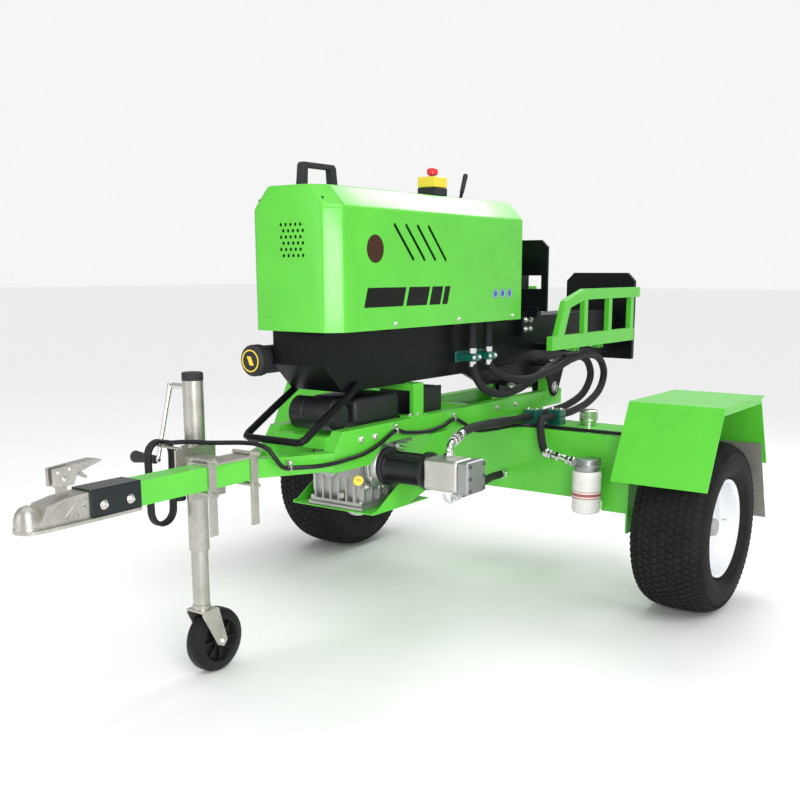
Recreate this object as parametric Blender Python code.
"""A towable log splitter: drawbar trailer, tilting beam, hydraulics, engine and jockey jack.

Metres, +Z up, ground at z = 0. The towing direction is -X, the trailer's left side is -Y, and the origin
is under the middle of the whole object. Run with: blender --background --python part.py
"""

import math

import bmesh
import bpy
from mathutils import Vector

# ---- driving dimensions -------------------------------------------------------------------------
GAP = 0.0003  # clearance between touching pieces
CENTRE_SHIFT = 0.0161  # puts the origin under the middle: the layout is dimensioned from near the engine

AXLE_X = 0.600
TYRE_RADIUS = 0.300
TYRE_WIDTH = 0.260
WHEEL_Y = 0.785
RIM_RADIUS = 0.170
SPINDLE_RADIUS = 0.0150
HUB_BORE = 0.0153

RAIL_INNER_Y = 0.100
RAIL_OUTER_Y = 0.140
RAIL_BOTTOM = 0.655
RAIL_TOP = 0.715
RAIL_REAR_X = 0.830

DRAWBAR_FRONT_X = -1.190
DRAWBAR_REAR_X = -0.776
DRAWBAR_BOTTOM = 0.606
DRAWBAR_SIDE = 0.062

BEAM_BOTTOM = 0.820
BEAM_TOP = 1.000
BEAM_HALF = 0.080
BOX_HALF = 0.0975
BEAM_FRONT_X = -0.565
BOX_REAR_X = -0.170
BEAM_REAR_X = 1.455
PIVOT_X = 0.760
PIVOT_Z = 0.725
PIVOT_RADIUS = 0.012

HOOD_FRONT_X = -0.600
HOOD_REAR_X = 0.447
HOOD_HALF = 0.168
HOOD_BOTTOM = 1.000
HOOD_SHOULDER = 1.344
HOOD_TOP = 1.405
HOOD_CHAMFER = 0.055
HOOD_CORNER = 0.046
SHEET = 0.003

CYLINDER_Z = 1.105
BARREL_RADIUS = 0.060
ROD_RADIUS = 0.028

TANK_FRONT_X = 0.450
TANK_REAR_X = 0.700
TANK_HALF = 0.500
TANK_BOTTOM = 0.374
TANK_TOP = 0.610

FENDER_INNER_Y = 0.6005
FENDER_OUTER_Y = 0.930
FENDER_TOP = 0.738
FENDER_BOTTOM = 0.484

CRANK_X = -0.300
CRANK_Z = 0.578

JACK_X = -0.817
JACK_Y = 0.172
JACK_PIVOT_Z = 0.640
JACK_OUTER_RADIUS = 0.029
JACK_INNER_RADIUS = 0.0245
CASTER_RADIUS = 0.096
CASTER_TRAIL = 0.045
FORK_TOP = 0.2025

LATCH_X = -1.388
LATCH_Z = 0.706

HANK_X = -0.895
HANK_Y = 0.232
HANK_TOP = 0.707
HANK_BOTTOM = 0.457
HANK_TURNS = 3
HANK_FOLD = 6  # the end loops' width in cable diameters
HOOK_Z = 0.6885

CRADLE_Y = 0.245
CRADLE_HINGE_Z = 0.880

HOSE_RADIUS = 0.014
CABLE_RADIUS = 0.0065

GREEN = (0.13, 0.62, 0.05)
BLACK = (0.015, 0.016, 0.018)
ZINC = (0.55, 0.54, 0.50)


# ---- materials and solids -----------------------------------------------------------------------
def material(name, colour, roughness, metallic):
    """A Principled material, made once for each name."""
    found = bpy.data.materials.get(name)
    if found:
        return found
    made = bpy.data.materials.new(name)
    made.use_nodes = True
    shader = made.node_tree.nodes["Principled BSDF"]
    shader.inputs["Base Color"].default_value = (*colour, 1)
    shader.inputs["Roughness"].default_value = roughness
    shader.inputs["Metallic"].default_value = metallic
    return made


def green():
    return material("green_paint", GREEN, 0.35, 0.0)


def black():
    return material("black_paint", BLACK, 0.4, 0.0)


def zinc():
    return material("zinc", ZINC, 0.4, 0.9)


def rubber():
    return material("rubber", (0.02, 0.02, 0.02), 0.8, 0.0)


def aluminium():
    return material("aluminium", (0.6, 0.6, 0.58), 0.4, 0.9)


def steel():
    return material("steel", (0.6, 0.6, 0.6), 0.25, 1.0)


def from_rings(rings, closed):
    """A mesh through rings of points: capped at both ends, or closed on itself."""
    bm = bmesh.new()
    loops = [[bm.verts.new(p) for p in ring] for ring in rings]
    pairs = list(zip(loops, loops[1:]))
    if closed:
        pairs.append((loops[-1], loops[0]))
    for low, high in pairs:
        count = len(low)
        for i in range(count):
            j = (i + 1) % count
            bm.faces.new((low[i], low[j], high[j], high[i]))
    if not closed:
        bm.faces.new(list(reversed(loops[0])))
        bm.faces.new(loops[-1])
    bmesh.ops.recalc_face_normals(bm, faces=bm.faces)
    return bm


def box(low, high):
    """A block between two corners."""
    ring = [(low[0], low[1]), (high[0], low[1]), (high[0], high[1]), (low[0], high[1])]
    return from_rings([[(x, y, z) for x, y in ring] for z in (low[2], high[2])], False)


def prism(outline, along, start, end):
    """An outline extruded along X (outline in YZ), Y (outline in XZ) or Z (outline in XY)."""
    place = {
        "X": lambda a, b, c: (c, a, b),
        "Y": lambda a, b, c: (a, c, b),
        "Z": lambda a, b, c: (a, b, c),
    }[along]
    return from_rings([[place(a, b, c) for a, b in outline] for c in (start, end)], False)


def turned(profile, centre, axis, sides=32, closed=False):
    """A profile of (distance along the axis, radius) turned about the axis through centre."""
    turn = Vector((0, 0, 1)).rotation_difference(Vector(axis)).to_matrix()
    rings = []
    for along, radius in profile:
        ring = []
        for i in range(sides):
            angle = 2 * math.pi * i / sides
            local = Vector((radius * math.cos(angle), radius * math.sin(angle), along))
            ring.append(Vector(centre) + turn @ local)
        rings.append(ring)
    return from_rings(rings, closed)


def rod(start, end, radius, sides=16, end_radius=None):
    """A round bar between two points, tapered if end_radius is given."""
    start, end = Vector(start), Vector(end)
    last = radius if end_radius is None else end_radius
    return turned([(0, radius), ((end - start).length, last)], start, end - start, sides)


def bent_bar(points, radius, sides=12):
    """A round bar along a polyline, mitred at its corners."""
    points = [Vector(p) for p in points]
    rings = []
    side = None
    for i, point in enumerate(points):
        before = (point - points[max(i - 1, 0)]).normalized()
        after = (points[min(i + 1, len(points) - 1)] - point).normalized()
        along = (before + after).normalized()
        if side is None:
            side = along.orthogonal().normalized()
        side = (side - along * side.dot(along)).normalized()
        other = along.cross(side)
        rings.append(
            [
                point
                + radius * math.cos(2 * math.pi * k / sides) * side
                + radius * math.sin(2 * math.pi * k / sides) * other
                for k in range(sides)
            ]
        )
    return from_rings(rings, False)


def smooth_route(points, step):
    """Points about step apart on a smooth curve through the route's own points."""
    points = [Vector(p) for p in points]
    ends = [2 * points[0] - points[1]] + points + [2 * points[-1] - points[-2]]
    fine = []
    for a, b, c, d in zip(ends, ends[1:], ends[2:], ends[3:]):
        count = max(1, round((c - b).length / step))
        for i in range(count):
            t = i / count
            fine.append(
                0.5 * (2 * b + (c - a) * t + (2 * a - 5 * b + 4 * c - d) * t * t
                       + (3 * b - a - 3 * c + d) * t * t * t)
            )
    fine.append(points[-1])
    return fine


def node(name, bm, paint, origin=(0, 0, 0)):
    """The named object of a solid, with its origin at a point of the row frame."""
    bmesh.ops.translate(bm, verts=bm.verts, vec=-Vector(origin))
    mesh = bpy.data.meshes.new(name)
    bm.to_mesh(mesh)
    bm.free()
    mesh.materials.append(paint)
    mesh.shade_smooth()
    mesh.set_sharp_from_angle(angle=math.radians(35))
    made = bpy.data.objects.new(name, mesh)
    made.location = origin
    bpy.context.collection.objects.link(made)
    return made


def fused(name, solids, paint, cuts=(), origin=(0, 0, 0)):
    """One body from solids that overlap, less the cuts, by exact Booleans."""
    base = node(name, solids[0], paint)
    tools = []
    for kind, group in (("UNION", solids[1:]), ("DIFFERENCE", cuts)):
        for solid in group:
            tool = node(name + "_tool", solid, paint)
            step = base.modifiers.new(kind, "BOOLEAN")
            step.operation = kind
            step.solver = "EXACT"
            step.object = tool
            tools.append(tool)
    bpy.context.view_layer.update()
    shaped = base.evaluated_get(bpy.context.evaluated_depsgraph_get())
    bm = bmesh.new()
    bm.from_mesh(shaped.to_mesh())
    shaped.to_mesh_clear()
    for tool in tools + [base]:
        bpy.data.objects.remove(tool, do_unlink=True)
    bmesh.ops.dissolve_limit(bm, angle_limit=0.001, verts=bm.verts, edges=bm.edges)
    return node(name, bm, paint, origin)


def tube_node(name, route, radius, paint):
    """A flexible tube: a poly curve with a round bevel and filled caps."""
    curve = bpy.data.curves.new(name, "CURVE")
    curve.dimensions = "3D"
    curve.bevel_depth = radius
    curve.bevel_resolution = 2
    curve.use_fill_caps = True
    spline = curve.splines.new("POLY")
    spline.points.add(len(route) - 1)
    for point, place in zip(spline.points, route):
        point.co = (*place, 1)
    curve.materials.append(paint)
    made = bpy.data.objects.new(name, curve)
    bpy.context.collection.objects.link(made)
    return made


def mirrored(outline):
    """An outline given on its +Y half, completed on the other half."""
    return outline + [(-y, z) for y, z in reversed(outline)]


# ---- trailer frame ------------------------------------------------------------------------------
def drawbar():
    half, wall = DRAWBAR_SIDE / 2, 0.004
    bottom, top = DRAWBAR_BOTTOM, DRAWBAR_BOTTOM + DRAWBAR_SIDE
    tube = box((DRAWBAR_FRONT_X, -half, bottom), (DRAWBAR_REAR_X, half, top))
    hollow = box(
        (-1.3447, -half + wall, bottom + wall),
        (DRAWBAR_REAR_X - 0.05, half - wall, top - wall),
    )
    start, end = (-0.782, 0.008), (-0.5805, 0.1195)
    width = 0.0225
    arms = []
    for side in (-1, 1):
        outline = [
            (start[0], side * start[1] - width),
            (end[0], side * end[1] - width),
            (end[0], side * end[1] + width),
            (start[0], side * start[1] + width),
        ]
        arms.append(prism(outline, "Z", bottom + 0.001, 0.660))
    sleeve = box((-1.3347, -half - 0.004, bottom - 0.0002), (DRAWBAR_FRONT_X + 0.002, half + 0.004, top + 0.004))
    fused("drawbar", [tube, sleeve, *arms], green(), [hollow])


def chassis_rails():
    outline = [
        (-0.580, 0.600),
        (-0.410, 0.600),
        (-0.345, RAIL_BOTTOM),
        (RAIL_REAR_X, RAIL_BOTTOM),
        (RAIL_REAR_X, RAIL_TOP),
        (-0.540, RAIL_TOP),
        (-0.580, 0.662),
    ]
    solids, cuts = [], []
    for side in (-1, 1):
        inner, outer = sorted((side * RAIL_INNER_Y, side * RAIL_OUTER_Y))
        solids.append(prism(outline, "Y", inner, outer))
        channel = sorted((side * (RAIL_INNER_Y - 0.001), side * (RAIL_OUTER_Y - 0.004)))
        for low, high in ((-0.300, 0.265), (0.315, 0.700)):
            cuts.append(box((low, channel[0], RAIL_BOTTOM + 0.004), (high, channel[1], RAIL_TOP - 0.004)))
        spacer = box((0.470, inner, TANK_TOP + GAP), (0.680, outer, RAIL_BOTTOM + 0.002))
        lug = box((PIVOT_X - 0.05, inner, RAIL_TOP - 0.02), (PIVOT_X + 0.045, outer, PIVOT_Z + 0.040))
        solids += [spacer, lug]
    for low, high in ((-0.570, -0.535), (0.270, 0.310)):
        solids.append(box((low, -RAIL_INNER_Y - 0.003, 0.663), (high, RAIL_INNER_Y + 0.003, 0.700)))
    cuts.append(rod((PIVOT_X, -0.2, PIVOT_Z), (PIVOT_X, 0.2, PIVOT_Z), PIVOT_RADIUS + GAP, 24))
    fused("chassis_rails", solids, green(), cuts)
    head = 0.0195
    reach = RAIL_OUTER_Y + GAP
    profile = [
        (-reach - 0.012, head), (-reach, head), (-reach, PIVOT_RADIUS),
        (reach, PIVOT_RADIUS), (reach, head), (reach + 0.012, head),
    ]
    node("pivot_pin", turned(profile, (PIVOT_X, 0, PIVOT_Z), (0, 1, 0), 24), zinc())


def beam_rest():
    solids = [box((-0.1675, -0.128, 0.796), (-0.1125, 0.128, BEAM_BOTTOM - GAP))]
    for side in (-1, 1):
        post = sorted((side * 0.112, side * 0.128))
        foot = sorted((side * RAIL_INNER_Y, side * RAIL_OUTER_Y))
        solids.append(box((-0.1675, post[0], RAIL_TOP + 0.003), (-0.1125, post[1], 0.800)))
        solids.append(box((-0.205, foot[0], RAIL_TOP + GAP), (-0.110, foot[1], RAIL_TOP + 0.006)))
    fused("beam_rest", solids, green())


def oil_tank():
    wall = 0.004
    low, high = (TANK_FRONT_X, -TANK_HALF, TANK_BOTTOM), (TANK_REAR_X, TANK_HALF, TANK_TOP)
    inner = box([v + wall for v in low], [v - wall for v in high])
    neck = rod((0.640, -0.352, TANK_TOP - 0.02), (0.640, -0.352, TANK_TOP + 0.02), 0.020, 20)
    fused("oil_tank", [box(low, high)], green(), [inner, neck])
    profile = [
        (-0.012, 0.0195), (0.0006, 0.0195), (0.0006, 0.030), (0.014, 0.030),
        (0.014, 0.034), (0.052, 0.034), (0.056, 0.030),
    ]
    node("filler_breather", turned(profile, (0.640, -0.352, TANK_TOP), (0, 0, 1), 24), steel())


def axle():
    back = TANK_REAR_X + GAP
    solids = [box((back, -0.600, 0.385), (back + 0.012, 0.600, 0.445))]
    for side in (-1, 1):
        solids.append(rod((AXLE_X, side * 0.595, TYRE_RADIUS), (AXLE_X, side * 0.722, TYRE_RADIUS), 0.025, 20))
        tip = (AXLE_X, side * 0.832, TYRE_RADIUS)
        solids.append(rod((AXLE_X, side * 0.70, TYRE_RADIUS), tip, SPINDLE_RADIUS, 24))
        near, far = side * (TANK_HALF + GAP), side * 0.600
        span = sorted((near, far))
        plate = sorted((side * 0.592, far))
        solids.append(box((TANK_FRONT_X, span[0], 0.340), (TANK_FRONT_X + 0.006, span[1], 0.609)))
        solids.append(box((TANK_FRONT_X, span[0], 0.603), (0.690, span[1], 0.609)))
        solids.append(box((TANK_FRONT_X, plate[0], 0.270), (back + 0.012, plate[1], 0.609)))
    fused("axle", solids, green())


def wheel(side):
    """One wheel on its spindle. Distances along the axis run outwards from the wheel's middle."""
    name = "left" if side < 0 else "right"
    centre, axis = (AXLE_X, side * WHEEL_Y, TYRE_RADIUS), (0, side, 0)
    half = TYRE_WIDTH / 2
    outside = [
        (0.088, 0.1585), (0.0925, 0.1735), (0.105, 0.180), (half - 0.006, 0.196), (half, 0.228),
        (half - 0.010, 0.268), (half - 0.034, 0.292), (0.060, TYRE_RADIUS),
    ]
    inside = [
        (0.052, 0.286), (half - 0.030, 0.262), (half - 0.012, 0.228), (half - 0.022, 0.195), (0.078, 0.170),
    ]
    profile = [(-s, r) for s, r in outside] + [(s, r) for s, r in reversed(outside)]
    profile += [(s, r) for s, r in reversed(inside)] + [(-s, r) for s, r in inside]
    node(name + "_tyre", turned(profile, centre, axis, 36, closed=True), rubber(), centre)
    rim = [
        (0.105, RIM_RADIUS), (0.099, RIM_RADIUS + 0.002), (0.094, 0.158), (0.060, 0.152), (0.045, 0.134),
        (-0.045, 0.134), (-0.060, 0.152), (-0.094, 0.158), (-0.099, RIM_RADIUS + 0.002), (-0.105, RIM_RADIUS),
        (-0.105, 0.164), (-0.098, 0.151), (-0.064, 0.145), (-0.048, 0.127), (0.014, 0.127), (0.014, 0.0345),
        (0.022, 0.0345), (0.022, 0.127), (0.048, 0.127), (0.064, 0.145), (0.098, 0.151), (0.105, 0.164),
    ]
    white = material("white_paint", (0.85, 0.86, 0.87), 0.3, 0.0)
    node(name + "_rim", turned(rim, centre, axis, 24, closed=True), white, centre)
    hub = [
        (-0.058, HUB_BORE), (-0.058, 0.030), (-0.010, 0.030), (-0.010, 0.062), (0.0135, 0.062),
        (0.0135, 0.034), (0.030, 0.034), (0.030, 0.031), (0.078, 0.031), (0.080, 0.028), (0.080, 0.0001),
        (0.052, 0.0001), (0.052, HUB_BORE),
    ]
    grey = material("hub_grey", (0.5, 0.5, 0.48), 0.45, 0.6)
    node(name + "_hub", turned(hub, centre, axis, 18, closed=True), grey, centre)


def fender(side):
    name = "left" if side < 0 else "right"
    thick = 0.004
    front_low, front_top, rear_top, rear_low = -0.310, -0.175, 0.205, 0.320
    lines = [
        (front_low, FENDER_BOTTOM), (front_top, FENDER_TOP),
        (rear_top, FENDER_TOP), (rear_low, FENDER_BOTTOM),
    ]
    inner_lines = [
        (rear_low - thick * 1.1, FENDER_BOTTOM), (rear_top - thick * 0.6, FENDER_TOP - thick),
        (front_top + thick * 0.6, FENDER_TOP - thick), (front_low + thick * 1.1, FENDER_BOTTOM),
    ]
    outline = [(AXLE_X + x, z) for x, z in lines + inner_lines]
    span = sorted((side * FENDER_INNER_Y, side * FENDER_OUTER_Y))
    lip = sorted((side * (FENDER_OUTER_Y - thick), side * FENDER_OUTER_Y))
    plate = sorted((side * FENDER_INNER_Y, side * (FENDER_INNER_Y + thick)))
    rim = [
        (AXLE_X + front_top, FENDER_TOP), (AXLE_X + rear_top, FENDER_TOP),
        (AXLE_X + rear_top + 0.011, FENDER_TOP - 0.025), (AXLE_X + front_top - 0.011, FENDER_TOP - 0.025),
    ]
    web = [
        (AXLE_X + front_top, FENDER_TOP), (AXLE_X + rear_top, FENDER_TOP),
        (AXLE_X + 0.08, 0.520), (AXLE_X - 0.12, 0.520),
    ]
    shelf = box(
        (AXLE_X + rear_top - 0.01, span[0], FENDER_TOP - 0.006),
        (AXLE_X + rear_top + 0.035, span[1], FENDER_TOP),
    )
    solids = [
        prism(outline, "Y", *span),
        prism(rim, "Y", *lip),
        prism(web, "Y", *plate),
        shelf,
    ]
    fused(name + "_fender", solids, green())
    top, bottom = (AXLE_X + 0.2795, 0.560), (AXLE_X + 0.395, 0.265)
    flap = [top, (top[0] - 0.003, top[1]), (bottom[0] - 0.003, bottom[1]), bottom]
    width = sorted((side * 0.640, side * 0.918))
    paint = material("flap_grey", (0.42, 0.41, 0.38), 0.5, 0.7)
    node(name + "_mudflap", prism(flap, "Y", *width), paint)


# ---- coupler ------------------------------------------------------------------------------------
def coupler():
    plate = [(-1.335, -0.041), (-1.190, -0.038), (-1.190, 0.038), (-1.335, 0.041)]
    for i in range(9):
        angle = math.pi / 2 + math.pi * i / 8
        plate.append((-1.472 + 0.0405 * math.cos(angle), 0.0405 * math.sin(angle)))
    bulb = [(0.0, 0.0310), (0.027, 0.0310), (0.043, 0.0265), (0.055, 0.0170), (0.060, 0.004)]
    body = [(-1.480, 0.600), (-1.335, 0.600), (-1.335, 0.668), (-1.400, 0.664), (-1.448, 0.655)]
    tongue = box((LATCH_X - 0.012, -0.006, 0.650), (LATCH_X + 0.012, 0.006, LATCH_Z + 0.010))
    socket = turned(
        [(0.0, 0.0262), (0.026, 0.0262), (0.040, 0.020), (0.047, 0.008)], (-1.480, 0, 0.586), (0, 0, 1), 24
    )
    fused(
        "coupler_body",
        [
            prism(plate, "Z", 0.598, 0.6055),
            turned(bulb, (-1.480, 0, 0.599), (0, 0, 1), 24),
            prism(body, "Y", -0.0300, 0.0300),
            tongue,
        ],
        zinc(),
        [socket],
    )
    side = [
        (-0.028, -0.016), (0.024, -0.018), (0.036, 0.008), (0.100, 0.026), (0.105, 0.030), (0.085, 0.034),
        (0.026, 0.030), (-0.028, 0.026),
    ]
    side = [(LATCH_X + x, LATCH_Z + z) for x, z in side]
    fused(
        "coupler_lever",
        [prism(side, "Y", -0.016, 0.016)],
        zinc(),
        [box((LATCH_X - 0.040, -0.0066, 0.680), (LATCH_X + 0.025, 0.0066, 0.760))],
        (LATCH_X, 0, LATCH_Z),
    )
    catch = [(0.038, 0.0035), (0.067, -0.010), (0.071, -0.006), (0.054, 0.0075)]
    catch = [(LATCH_X + x, LATCH_Z + z) for x, z in catch]
    node("coupler_trigger", prism(catch, "Y", -0.005, 0.005), zinc(), (LATCH_X + 0.043, 0, LATCH_Z + 0.003))


# ---- jockey jack --------------------------------------------------------------------------------
def jack_bracket():
    half = DRAWBAR_SIDE / 2
    near, far = -half - GAP, half + GAP
    top = DRAWBAR_BOTTOM + DRAWBAR_SIDE + GAP
    solids = [
        box((-0.970, near - 0.006, top), (-0.785, far + 0.006, top + 0.006)),
        box((-0.970, far, 0.5685), (-0.842, far + 0.006, top + 0.006)),
        box((-0.900, far + 0.003, 0.605), (-0.842, 0.130, 0.670)),
        box((-0.930, 0.1275, 0.590), (-0.782, 0.1335, 0.690)),
        box((-0.907, 0.1275, 0.680), (-0.883, 0.1335, 0.700)),
        rod((HANK_X, 0.130, HOOK_Z), (HANK_X, 0.2535, HOOK_Z), 0.004, 12),
        rod((JACK_X, 0.130, JACK_PIVOT_Z), (JACK_X, 0.1415, JACK_PIVOT_Z), 0.010, 20),
    ]
    for x in (-0.953, -0.7965):
        solids.append(box((x - 0.0135, near - 0.006, 0.480), (x + 0.0135, near, 0.688)))
        solids.append(rod((x, near - 0.022, 0.6795), (x, far + 0.012, 0.6795), 0.0055, 10))
        solids.append(rod((x, near - 0.022, 0.5930), (x, far + 0.012, 0.5930), 0.0055, 10))
    solids.append(box((-0.8090, near - 0.006, 0.5900), (-0.7840, far + 0.006, 0.5965)))
    fused("jack_bracket", solids, zinc())


def jack():
    outer, inner = JACK_OUTER_RADIUS, JACK_INNER_RADIUS
    axis = (JACK_X, JACK_Y)
    shell = turned(
        [(0.380, outer), (0.880, outer), (0.880, outer + 0.001), (0.893, outer + 0.001)],
        (*axis, 0), (0, 0, 1), 28,
    )
    lug = box((JACK_X - 0.03, JACK_Y - outer + GAP - 0.0010, JACK_PIVOT_Z - 0.05),
              (JACK_X + 0.03, JACK_Y - 0.018, JACK_PIVOT_Z + 0.05))
    fused(
        "jack_outer_tube",
        [shell, lug],
        zinc(),
        [
            rod((*axis, 0.370), (*axis, 0.876), inner + 0.0006, 28),
            rod((JACK_X, JACK_Y, 0.850), (JACK_X, JACK_Y + 0.05, 0.850), 0.0095, 16),
        ],
        (JACK_X, JACK_Y, JACK_PIVOT_Z),
    )
    fused(
        "jack_inner_tube",
        [rod((*axis, FORK_TOP + 0.0145), (*axis, 0.660), inner, 28)],
        zinc(),
        [rod((*axis, FORK_TOP + 0.024), (*axis, 0.670), inner - 0.004, 20)],
        (*axis, FORK_TOP + 0.0145),
    )
    arm_y = JACK_Y + 0.0905
    hinge = Vector((JACK_X, arm_y, 0.850))
    arm_end = Vector((JACK_X - 0.056, arm_y + 0.004, 0.641))
    fused(
        "jack_crank",
        [
            rod((JACK_X, JACK_Y + 0.012, 0.850), (JACK_X, arm_y + 0.006, 0.850), 0.009, 16),
            bent_bar([hinge + Vector((0.001, 0, 0.006)), arm_end], 0.006, 12),
            rod(arm_end - Vector((0, 0.006, 0)), arm_end + Vector((0, 0.030, 0)), 0.0055, 12),
        ],
        zinc(),
        (),
        (JACK_X, JACK_Y, 0.850),
    )
    grip_start = arm_end + Vector((0, 0.0085, 0))
    grip = [(0, 0.0062), (0.0, 0.012), (0.045, 0.014), (0.085, 0.018), (0.094, 0.012), (0.094, 0.0001),
            (0.024, 0.0001), (0.024, 0.0062)]
    plastic = material("black_plastic", (0.02, 0.02, 0.02), 0.45, 0.0)
    node("jack_grip", turned(grip, grip_start, (0, 1, 0), 20, closed=True), plastic, grip_start)


def caster():
    wheel_x = JACK_X + CASTER_TRAIL
    top, low = FORK_TOP, FORK_TOP - 0.006
    solids = [
        rod((JACK_X, JACK_Y, low + 0.001), (JACK_X, JACK_Y, top + 0.0140), 0.026, 24),
        box((JACK_X - 0.028, JACK_Y - 0.035, low), (JACK_X + 0.034, JACK_Y + 0.035, top)),
        rod((wheel_x, JACK_Y - 0.033, CASTER_RADIUS), (wheel_x, JACK_Y + 0.033, CASTER_RADIUS), 0.006, 16),
    ]
    for side in (-1, 1):
        span = sorted((JACK_Y + side * 0.031, JACK_Y + side * 0.035))
        outline = [
            (JACK_X - 0.028, top), (JACK_X - 0.028, low - 0.008), (wheel_x - 0.020, CASTER_RADIUS - 0.006),
            (wheel_x + 0.004, CASTER_RADIUS - 0.018), (wheel_x + 0.020, CASTER_RADIUS), (JACK_X + 0.034, top),
        ]
        solids.append(prism(outline, "Y", *span))
    fused("caster_fork", solids, zinc(), (), (JACK_X, JACK_Y, FORK_TOP + 0.0145))
    near, far = JACK_Y - 0.0306, JACK_Y + 0.0306
    bore = rod((wheel_x, near, CASTER_RADIUS), (wheel_x, far, CASTER_RADIUS), 0.0064, 16)
    tread = 0.0275
    profile = [
        (-tread, 0.012), (-tread, 0.055), (-0.018, 0.068), (-tread, 0.075),
        (-tread + 0.006, CASTER_RADIUS - 0.003), (-0.012, CASTER_RADIUS), (0.012, CASTER_RADIUS),
        (tread - 0.006, CASTER_RADIUS - 0.003), (tread, 0.075), (0.018, 0.068), (tread, 0.055),
        (tread, 0.012),
    ]
    centre = (wheel_x, JACK_Y, CASTER_RADIUS)
    fused("caster_wheel", [turned(profile, centre, (0, 1, 0), 28)], rubber(), [bore], centre)


# ---- engine and pump ----------------------------------------------------------------------------
def engine_tray():
    wall = 0.004
    solids = [box((-0.425, -0.160, 0.447), (-0.130, 0.160, 0.451))]
    outline = [
        (-0.425, 0.447), (-0.250, 0.447), (-0.060, 0.500), (0.010, RAIL_BOTTOM - GAP),
        (-0.105, RAIL_BOTTOM - GAP), (-0.235, 0.557), (-0.405, 0.458), (-0.425, 0.456),
    ]
    for side in (-1, 1):
        span = sorted((side * (0.160 - wall), side * 0.160))
        flange = sorted((side * 0.105, side * 0.160))
        solids.append(prism(outline, "Y", *span))
        solids.append(
            box((-0.100, flange[0], RAIL_BOTTOM - GAP - wall), (0.005, flange[1], RAIL_BOTTOM - GAP))
        )
    fused("engine_tray", solids, green())


def engine():
    dark = material("engine_black", (0.02, 0.02, 0.022), 0.4, 0.0)
    floor = 0.4513
    fused(
        "engine_block",
        [
            box((-0.405, -0.098, 0.470), (-0.180, 0.098, 0.655)),
            box((-0.418, -0.112, floor), (-0.165, 0.104, 0.486)),
            rod((CRANK_X, -0.050, CRANK_Z), (CRANK_X, -0.1197, CRANK_Z), 0.056, 28),
            prism([(-0.330, 0.600), (-0.190, 0.560), (-0.070, 0.640), (-0.070, 0.700), (-0.330, 0.700)], "Y",
                  -0.085, 0.085),
        ],
        aluminium(),
    )
    shroud = [(0.0, 0.072), (0.030, 0.072), (0.044, 0.060), (0.052, 0.030)]
    node("fan_shroud", turned(shroud, (CRANK_X, 0.0985, CRANK_Z), (0, 1, 0), 28), dark)
    tank = box((-0.420, -0.093, 0.7045), (-0.190, 0.093, 0.795))
    bmesh.ops.bevel(tank, geom=tank.edges[:], offset=0.022, segments=2, affect="EDGES")
    cleaner = turned([(-0.085, 0.040), (-0.075, 0.050), (0.075, 0.050), (0.085, 0.040)], (-0.480, 0, 0.752),
                     (0, 1, 0), 24)
    duct = box((-0.480, -0.040, 0.730), (-0.400, 0.040, 0.770))
    fused("fuel_tank", [tank, cleaner, duct], dark)
    slots = [box((0.020, -0.10, 0.735 + 0.014 * i), (0.060, 0.10, 0.741 + 0.014 * i)) for i in range(4)]
    fused("muffler", [box((-0.060, -0.090, 0.7003), (0.050, 0.090, 0.796))], dark, slots)


def pump():
    dark = material("bell_black", (0.02, 0.02, 0.022), 0.35, 0.0)
    bell = [(0.0, 0.060), (0.012, 0.060), (0.014, 0.040), (0.146, 0.040), (0.148, 0.058), (0.165, 0.058)]
    node("bell_housing", turned(bell, (CRANK_X, -0.120, CRANK_Z), (0, -1, 0), 28), dark)
    body = box((CRANK_X - 0.050, -0.4000, CRANK_Z - 0.048), (CRANK_X + 0.050, -0.2853, CRANK_Z + 0.048))
    bmesh.ops.bevel(body, geom=body.edges[:], offset=0.008, segments=2, affect="EDGES")
    cover = box((CRANK_X - 0.052, -0.450, CRANK_Z - 0.050), (CRANK_X + 0.052, -0.405, CRANK_Z + 0.050))
    bmesh.ops.bevel(cover, geom=cover.edges[:], offset=0.005, segments=1, affect="EDGES")
    neck = box((CRANK_X - 0.044, -0.410, CRANK_Z - 0.042), (CRANK_X + 0.044, -0.395, CRANK_Z + 0.042))
    elbows = [
        rod((-0.290, -0.345, 0.620), (-0.290, -0.345, 0.664), 0.012, 12),
        rod((-0.300, -0.345, 0.656), (-0.170, -0.300, 0.668), 0.0125, 12),
        rod((-0.300, -0.345, 0.540), (-0.300, -0.345, 0.490), 0.016, 12),
        rod((-0.306, -0.345, 0.498), (-0.250, -0.335, 0.498), 0.014, 12),
    ]
    fused("pump_body", [neck, body, cover, *elbows], aluminium())


# ---- oil filter and hose blocks -----------------------------------------------------------------
def oil_filter():
    centre = (0.392, -0.470, 0.0)
    white = material("filter_white", (0.85, 0.84, 0.82), 0.35, 0.0)
    can = [(0.338, 0.040), (0.343, 0.050), (0.480, 0.051), (0.490, 0.046)]
    node("oil_filter", turned(can, centre, (0, 0, 1), 28), white)
    fused(
        "filter_head",
        [
            rod((0.392, -0.470, 0.4903), (0.392, -0.470, 0.530), 0.045, 24),
            box((0.392, -0.495, 0.500), (TANK_FRONT_X - GAP, -0.445, 0.528)),
            rod((0.400, -0.450, 0.516), (0.400, -0.330, 0.530), 0.0130, 12),
        ],
        material("filter_head_grey", (0.35, 0.36, 0.36), 0.4, 0.8),
    )


HOSE_BLOCKS = ((0.525, -0.180), (0.580, -0.250))


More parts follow.
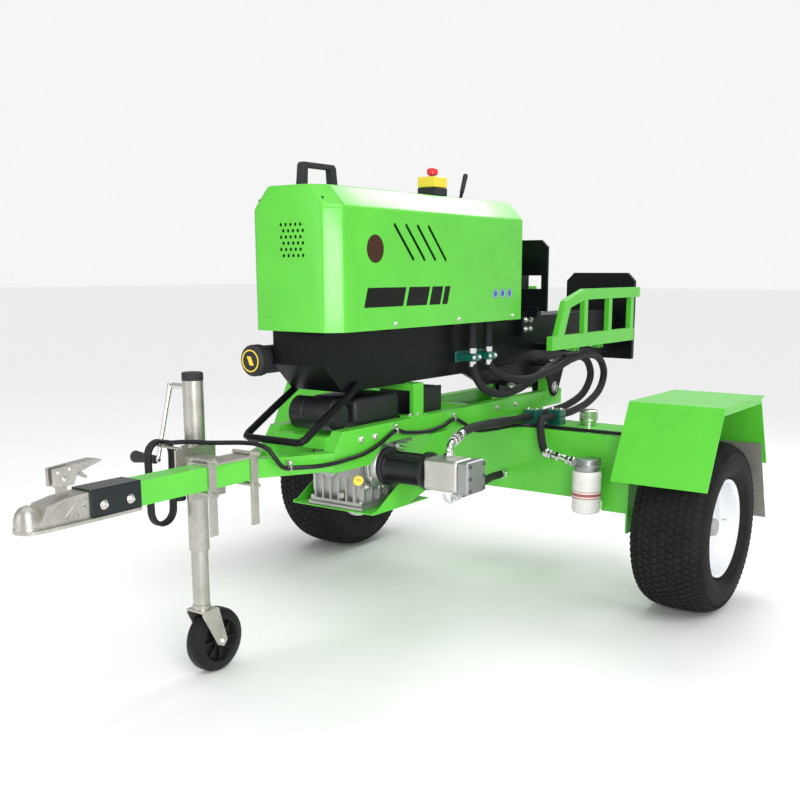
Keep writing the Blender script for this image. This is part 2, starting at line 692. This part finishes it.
def hose_blocks():
    teal = material("teal_block", (0.0, 0.16, 0.13), 0.4, 0.0)
    low = TANK_TOP + GAP
    solids, holes = [box((0.500, -0.276, low), (0.605, -0.154, low + 0.004))], []
    for x, y in HOSE_BLOCKS:
        solids.append(box((x - 0.025, y - 0.026, low), (x + 0.025, y + 0.026, TANK_TOP + 0.060)))
        holes.append(rod((x - 0.04, y, low + 0.032), (x + 0.04, y, low + 0.032), HOSE_RADIUS + 0.0016, 16))
    fused("hose_blocks", solids, teal, holes)


# ---- beam, ram and wedge ------------------------------------------------------------------------
def beam():
    wall = 0.008
    main = box((BOX_REAR_X - 0.02, -BEAM_HALF, BEAM_BOTTOM), (BEAM_REAR_X, BEAM_HALF, BEAM_TOP))
    nose = [
        (BEAM_FRONT_X, 0.900), (-0.490, 0.825), (-0.480, BEAM_BOTTOM), (BOX_REAR_X, BEAM_BOTTOM),
        (BOX_REAR_X, BEAM_TOP - 0.001), (BEAM_FRONT_X, BEAM_TOP - 0.001),
    ]
    solids = [main, prism(nose, "Y", -BOX_HALF, BOX_HALF)]
    cuts = [
        box(
            (-0.100, -BEAM_HALF + wall, BEAM_BOTTOM - 0.01),
            (BEAM_REAR_X - 0.02, BEAM_HALF - wall, BEAM_TOP - wall),
        ),
        box((-0.470, -BOX_HALF + wall, BEAM_BOTTOM - 0.01), (-0.180, BOX_HALF - wall, BEAM_TOP - wall)),
    ]
    gusset = [(0.350, 0.830), (0.824, 0.830)]
    for i in range(9):
        angle = math.radians(10 - 25 * i)
        gusset.append((PIVOT_X + 0.050 * math.cos(angle), PIVOT_Z + 0.050 * math.sin(angle)))
    gusset = [gusset[1]] + gusset[2:] + [(0.600, 0.730), gusset[0]]
    for side in (-1, 1):
        span = sorted((side * (BEAM_HALF - 0.006), side * (BEAM_HALF + 0.010)))
        solids.append(prism(gusset, "Y", *span))
    inside = HOOD_HALF - SHEET - GAP
    for x in (-0.320, 0.030, 0.380):
        solids.append(box((x - 0.020, -inside, 0.994), (x + 0.020, inside, 1.004)))
        for side in (-1, 1):
            tab = sorted((side * (inside - 0.004), side * inside))
            solids.append(box((x - 0.020, tab[0], 0.996), (x + 0.020, tab[1], 1.030)))
    for x in (0.730, 0.942):
        for side in (-1, 1):
            arm = sorted((side * (BEAM_HALF - 0.004), side * 0.2250))
            solids.append(box((x - 0.011, arm[0], 0.868), (x + 0.011, arm[1], 0.892)))
    cuts.append(rod((PIVOT_X, -0.2, PIVOT_Z), (PIVOT_X, 0.2, PIVOT_Z), PIVOT_RADIUS + GAP, 24))
    fused("beam", solids, black(), cuts, (PIVOT_X, 0, PIVOT_Z))
    plate = mirrored([(0.163, 0.785), (0.163, 1.125), (0.128, 1.160)])
    face = BEAM_REAR_X + GAP
    node("foot_plate", prism(plate, "X", face, face + 0.025), black())


def cylinder():
    dark = material("cylinder_black", (0.02, 0.02, 0.02), 0.35, 0.2)
    front, rear = -0.480, 0.260
    middle, along = (0, 0, CYLINDER_Z), (1, 0, 0)
    bore = ROD_RADIUS + GAP
    saddle = [box((x, -0.050, BEAM_TOP + 0.0045), (x + 0.040, 0.050, CYLINDER_Z)) for x in (-0.440, 0.180)]
    fused(
        "cylinder_barrel",
        [turned([(front, BARREL_RADIUS), (rear, BARREL_RADIUS)], middle, along, 32), *saddle],
        dark,
        [
            turned([(front + 0.02, 0.048), (rear - 0.03, 0.048)], middle, along, 24),
            turned([(rear - 0.05, bore), (rear + 0.05, bore)], middle, along, 24),
        ],
    )
    profile = [(-0.440, 0.0475), (-0.400, 0.0475), (-0.400, ROD_RADIUS), (0.4497, ROD_RADIUS)]
    node("ram_rod", turned(profile, middle, along, 24), steel(), (0.260, 0, CYLINDER_Z))
    foot = BEAM_TOP + 0.0005
    wedge = [
        (0.450, -0.026), (0.700, -0.026), (0.800, -0.0015), (0.800, 0.0015), (0.700, 0.026), (0.450, 0.026),
    ]
    shoe = box((0.460, -0.052, foot), (0.700, 0.052, foot + 0.018))
    fused("wedge", [prism(wedge, "Z", foot + 0.001, 1.190), shoe], black(), (), (0.450, 0, CYLINDER_Z))
    plate = mirrored([(0.190, 1.022), (0.190, 1.255), (0.165, 1.280)])
    brackets, windows = [], []
    for side in (-1, 1):
        foot_y = side * 0.1225
        brackets.append(box((0.594, foot_y - 0.0345, 1.0005), (0.606, foot_y + 0.0345, 1.030)))
        span = sorted((side * (BEAM_HALF + GAP), side * 0.110))
        brackets.append(box((0.560, span[0], 0.930), (0.640, span[1], 1.020)))
        wide = sorted((side * 0.088, side * 0.157))
        brackets.append(box((0.585, wide[0], 1.000), (0.615, wide[1], 1.040)))
        view = sorted((side * 0.060, side * 0.165))
        windows.append(box((0.55, view[0], 1.104), (0.65, view[1], 1.152)))
    slot = [
        box((0.55, -0.0320, 0.99), (0.65, 0.0320, 1.215)),
        box((0.55, -0.058, 0.99), (0.65, 0.058, 1.032)),
    ]
    fused(
        "log_stripper",
        [prism(plate, "X", 0.594, 0.606), *brackets],
        black(),
        windows + slot,
    )


# ---- hood, valve and controls -------------------------------------------------------------------
def hood_section(inset):
    """The hood's cross-section, as its +Y half."""
    half, top = HOOD_HALF - inset, HOOD_TOP - inset
    return [(half, HOOD_BOTTOM - (0.01 if inset else 0)), (half, HOOD_SHOULDER), (half - HOOD_CHAMFER, top)]


def hood_solid(inset):
    """The hood's outside, or its inside when inset, with its two front corners chamfered."""
    front = HOOD_FRONT_X + inset
    rings = []
    for x, narrow in ((front, HOOD_CORNER), (front + HOOD_CORNER, 0), (HOOD_REAR_X - inset, 0)):
        rings.append([(x, y - math.copysign(narrow, y), z) for y, z in mirrored(hood_section(inset))])
    return from_rings(rings, False)


def hood():
    cuts = [hood_solid(SHEET)]
    for side in (-1, 1):
        for i in range(4):
            x = -0.325 + 0.059 * i
            slot = [(x, 1.306), (x + 0.010, 1.306), (x + 0.105, 1.200), (x + 0.095, 1.200)]
            span = sorted((side * (HOOD_HALF - 0.02), side * (HOOD_HALF + 0.02)))
            cuts.append(prism(slot, "Y", *span))
    cuts.append(box((HOOD_REAR_X - 0.02, -0.110, 0.98), (HOOD_REAR_X + 0.02, 0.110, 1.220)))
    cuts.append(box((0.105, -0.096, 1.38), (0.235, -0.064, 1.42)))
    fused("hood", [hood_solid(0)], green(), cuts)


def controls():
    base = HOOD_TOP + GAP
    handle = [box((x, -0.015, base), (x + 0.026, 0.015, base + 0.010)) for x in (-0.562, -0.414)]
    arch = bent_bar(
        [
            (-0.549, 0, base + 0.002), (-0.546, 0, base + 0.040), (-0.535, 0, base + 0.053),
            (-0.520, 0, base + 0.058), (-0.430, 0, base + 0.058), (-0.415, 0, base + 0.053),
            (-0.404, 0, base + 0.040), (-0.401, 0, base + 0.002),
        ],
        0.009,
        12,
    )
    fused("hood_handle", [arch, *handle], black())
    yellow = material("yellow_box", (0.90, 0.62, 0.04), 0.4, 0.0)
    fused(
        "estop_box",
        [box((-0.015, -0.105, base), (0.055, -0.035, base + 0.060))],
        yellow,
        [rod((0.020, -0.070, base + 0.036), (0.020, -0.070, base + 0.070), 0.0102, 16)],
    )
    red = material("red_plastic", (0.65, 0.02, 0.02), 0.35, 0.0)
    button = [(0.044, 0.0098), (0.0662, 0.0098), (0.0662, 0.0165), (0.082, 0.0180), (0.088, 0.0140)]
    node(
        "estop_button", turned(button, (0.020, -0.070, base), (0, 0, 1), 24), red,
        (0.020, -0.070, base + 0.066),
    )
    metal = material("valve_grey", (0.22, 0.23, 0.24), 0.45, 0.6)
    fused(
        "control_valve",
        [
            box((0.050, -0.140, 1.190), (0.290, -0.070, 1.258)),
            box((0.060, -0.086, 1.1705), (0.280, -0.030, 1.200)),
            box((0.110, -0.098, 1.250), (0.132, -0.062, 1.300)),
        ],
        metal,
        [box((0.100, -0.0865, 1.262), (0.160, -0.0735, 1.310))],
    )
    fused(
        "control_lever",
        [
            rod((0.121, -0.080, 1.276), (0.205, -0.080, 1.487), 0.0058, 12),
            rod((0.1820, -0.080, 1.430), (0.205, -0.080, 1.4875), 0.0085, 12),
        ],
        black(),
        (),
        (0.121, -0.080, 1.276),
    )


# ---- cradles, lift handle and canister ----------------------------------------------------------
def cradle(side):
    name = "left" if side < 0 else "right"
    low, high = sorted((side * (CRADLE_Y - 0.012), side * (CRADLE_Y + 0.012)))
    bottom = box((0.520, low, 0.885), (1.250, high, 0.935))
    top = [(0.780, 1.062), (1.300, 1.062), (1.300, 1.102), (0.780, 1.102), (0.635, 1.065), (0.635, 1.030)]
    slope = [(0.560, 0.930), (0.610, 0.930), (0.660, 1.036), (0.660, 1.071), (0.620, 1.060)]
    solids = [bottom, prism(top, "Y", low, high), prism(slope, "Y", low, high)]
    for x in (0.780, 1.000, 1.215):
        solids.append(box((x, low + 0.002, 0.930), (x + 0.030, high - 0.002, 1.070)))
    for x in (0.7145, 0.7435, 0.9265, 0.9555):
        lug = sorted((side * 0.2085, side * (CRADLE_Y + 0.008)))
        solids.append(box((x - 0.0020, lug[0], 0.872), (x + 0.0020, lug[1], 0.888)))
    fused(name + "_cradle", solids, green(), (), (0.9, side * 0.2165, CRADLE_HINGE_Z))


def lift_handle():
    y = BOX_HALF + 0.012
    left = [(-0.425, -y, 0.840), (-0.470, -y, 0.813), (-0.560, -y, 0.766), (-0.665, -y, 0.708)]
    bend = [(-0.680, -y + 0.006, 0.700), (-0.684, -y + 0.022, 0.698)]
    half = left + bend
    route = half + [(x, -y_side, z) for x, y_side, z in reversed(half)]
    solids = [bent_bar(route, 0.011, 12)]
    for side in (-1, 1):
        span = sorted((side * (BOX_HALF + GAP), side * (y + 0.004)))
        solids.append(box((-0.436, span[0], 0.832), (-0.414, span[1], 0.848)))
    fused("lift_handle", solids, black())


def canister():
    plastic = material("canister_black", (0.02, 0.02, 0.022), 0.5, 0.0)
    profile = [(-0.612, 0.040), (-0.604, 0.046), (-0.570, 0.046), (-0.569, 0.042), (-0.330, 0.042)]
    strap = box((-0.460, BOX_HALF + GAP, 0.890), (-0.430, 0.120, 0.930))
    fused("document_canister", [turned(profile, (0, 0.146, 0.910), (1, 0, 0), 28), strap], plastic)


# ---- hoses and the trailer cable ----------------------------------------------------------------
PRESSURE_HOSE = [
    (-0.165, -0.2985, 0.6686), (-0.100, -0.277, 0.674), (0.050, -0.235, 0.668), (0.250, -0.196, 0.652),
    (0.400, -0.182, 0.6435), (0.470, -0.180, 0.6423), (0.580, -0.180, 0.6423), (0.680, -0.182, 0.645),
    (0.790, -0.190, 0.656), (0.900, -0.200, 0.690), (0.955, -0.205, 0.755), (0.920, -0.205, 0.818),
    (0.830, -0.203, 0.845), (0.720, -0.202, 0.842), (0.600, -0.200, 0.815), (0.480, -0.198, 0.780),
    (0.380, -0.194, 0.755), (0.280, -0.184, 0.748), (0.205, -0.164, 0.770), (0.178, -0.142, 0.820),
    (0.174, -0.130, 0.876), (0.174, -0.130, 0.960), (0.172, -0.124, 1.060), (0.170, -0.112, 1.130),
    (0.170, -0.105, 1.165), (0.170, -0.105, 1.1893),
]
RETURN_HOSE = [
    (0.400, -0.3280, 0.5302), (0.400, -0.304, 0.534), (0.412, -0.284, 0.556), (0.424, -0.268, 0.608),
    (0.446, -0.257, 0.6400), (0.500, -0.250, 0.6423), (0.635, -0.250, 0.6423), (0.720, -0.249, 0.645),
    (0.850, -0.246, 0.662), (0.960, -0.244, 0.705), (1.000, -0.242, 0.770), (0.950, -0.240, 0.830),
    (0.840, -0.240, 0.850), (0.720, -0.238, 0.842), (0.600, -0.236, 0.818), (0.480, -0.232, 0.800),
    (0.400, -0.224, 0.792), (0.340, -0.196, 0.795), (0.300, -0.158, 0.815), (0.283, -0.135, 0.850),
    (0.280, -0.130, 0.890), (0.280, -0.130, 0.960), (0.276, -0.124, 1.060), (0.270, -0.112, 1.130),
    (0.270, -0.105, 1.165), (0.270, -0.105, 1.1893),
]
SUCTION_HOSE = [
    (-0.2485, -0.3345, 0.498), (-0.212, -0.328, 0.4975), (-0.080, -0.280, 0.478), (0.080, -0.210, 0.458),
    (0.240, -0.145, 0.438), (0.350, -0.110, 0.431), (0.420, -0.108, 0.430), (0.4495, -0.108, 0.430),
]
CABLE_LEAD = [
    (-0.7215, -0.0870, 0.632), (-0.736, -0.0815, 0.639), (-0.752, -0.0720, 0.664), (-0.762, -0.0540, 0.690),
    (-0.776, -0.024, 0.702), (-0.792, 0.010, 0.7045), (-0.815, 0.045, 0.7045), (-0.845, 0.085, 0.7045),
    (-0.868, 0.125, 0.7060), (-0.883, 0.158, 0.7045), (-0.8935, 0.190, 0.7005), (-0.8935, 0.2120, 0.7005),
]
CABLE_RUN = [
    (-0.7155, -0.0905, 0.632), (-0.690, -0.110, 0.632), (-0.645, -0.139, 0.632),
    (-0.590, -0.1500, 0.633), (-0.545, -0.1490, 0.634),
    (-0.450, -0.148, 0.640), (-0.370, -0.148, 0.660), (-0.292, -0.148, 0.688), (-0.240, -0.148, 0.676),
    (-0.130, -0.148, 0.664), (-0.030, -0.148, 0.670), (0.035, -0.148, 0.685), (0.085, -0.150, 0.668),
    (0.160, -0.158, 0.632), (0.280, -0.162, 0.622), (0.400, -0.168, 0.619), (0.452, -0.200, 0.6175),
    (0.462, -0.260, 0.6175), (0.462, -0.360, 0.6175), (0.462, -0.480, 0.6175), (0.462, -0.590, 0.6175),
]


def hoses():
    braid = material("hose_black", (0.03, 0.03, 0.032), 0.7, 0.0)
    step = 4.2 * HOSE_RADIUS
    routes = {"pressure_hose": PRESSURE_HOSE, "return_hose": RETURN_HOSE, "suction_hose": SUCTION_HOSE}
    for name, route in routes.items():
        tube_node(name, smooth_route(route, step), HOSE_RADIUS, braid)
    tube_node("trailer_cable", smooth_route(CABLE_RUN, 0.050), CABLE_RADIUS, rubber())
    tube_node("cable_lead", smooth_route(CABLE_LEAD, 0.030), CABLE_RADIUS, rubber())


def stadium(half_width, low, high):
    """A standing outline with round ends, in X and Z."""
    outline = []
    for centre, start in ((high - half_width, 0), (low + half_width, math.pi)):
        for i in range(9):
            angle = start + math.pi * i / 8
            outline.append((HANK_X + half_width * math.cos(angle), centre + half_width * math.sin(angle)))
    return outline


def hank():
    half = (HANK_FOLD + 1) * CABLE_RADIUS
    deep = HANK_TURNS * CABLE_RADIUS
    thick = 2 * CABLE_RADIUS
    body = prism(stadium(half, HANK_BOTTOM, HANK_TOP), "Y", HANK_Y - deep, HANK_Y + deep)
    eye_outline = stadium(half - thick, HANK_BOTTOM + thick, HANK_TOP - thick)
    eye = prism(eye_outline, "Y", HANK_Y - 0.05, HANK_Y + 0.05)
    fused("cable_hank", [body], rubber(), [eye])
    plug_x = HANK_X + half + GAP + 0.019
    profile = [(0.0, 0.0085), (-0.018, 0.013), (-0.026, 0.0185), (-0.070, 0.0190)]
    plastic = material("black_plastic", (0.02, 0.02, 0.02), 0.45, 0.0)
    node("trailer_plug", turned(profile, (plug_x, HANK_Y, 0.590), (0, 0, 1), 20), plastic)


def build():
    for old in list(bpy.data.objects):
        bpy.data.objects.remove(old, do_unlink=True)
    drawbar()
    chassis_rails()
    beam_rest()
    oil_tank()
    axle()
    for side in (-1, 1):
        wheel(side)
        fender(side)
        cradle(side)
    coupler()
    jack_bracket()
    jack()
    caster()
    engine_tray()
    engine()
    pump()
    oil_filter()
    hose_blocks()
    beam()
    cylinder()
    hood()
    controls()
    lift_handle()
    canister()
    hoses()
    hank()
    for made in bpy.data.objects:
        made.location.x += CENTRE_SHIFT


build()
